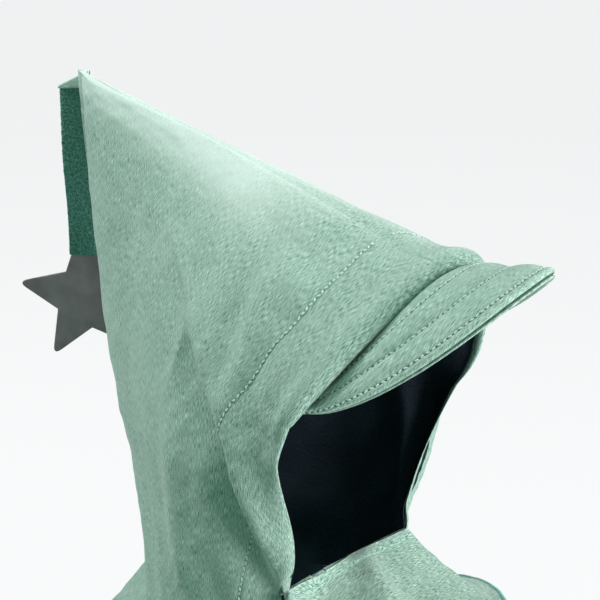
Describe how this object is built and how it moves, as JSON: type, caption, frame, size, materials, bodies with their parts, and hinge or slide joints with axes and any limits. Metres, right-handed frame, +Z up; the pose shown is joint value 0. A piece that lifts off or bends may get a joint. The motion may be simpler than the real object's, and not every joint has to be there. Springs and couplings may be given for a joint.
{
  "type": "pointed softshell rain hood with peak, shoulder yoke and star strap",
  "caption": "Pointed softshell rain hood with a dark lining, a padded stitched peak over the face, a round shoulder yoke, and a strap with a reflective star at the point.",
  "frame": {"origin": "where the crown of the wearer's head meets the inside of the hood, on the middle plane, just under the ridge", "axes": "+X to the wearer's left, -Y forward to the face opening, +Z up"},
  "size_m": [0.316, 0.4022, 0.4103],
  "materials": {
    "softshell": "matt melange",
    "lining": "matt jersey",
    "fleece": "napped",
    "reflective": "satin"
  },
  "bodies": {
    "root": {"hood_panel_right": "softshell", "hood_panel_left": "softshell", "hood_lining": "lining", "peak_cover": "softshell", "peak_underside": "softshell", "shoulder_yoke": "softshell", "strap_face": "softshell", "strap_backing": "fleece", "star": "reflective"}
  },
  "joints": []
}
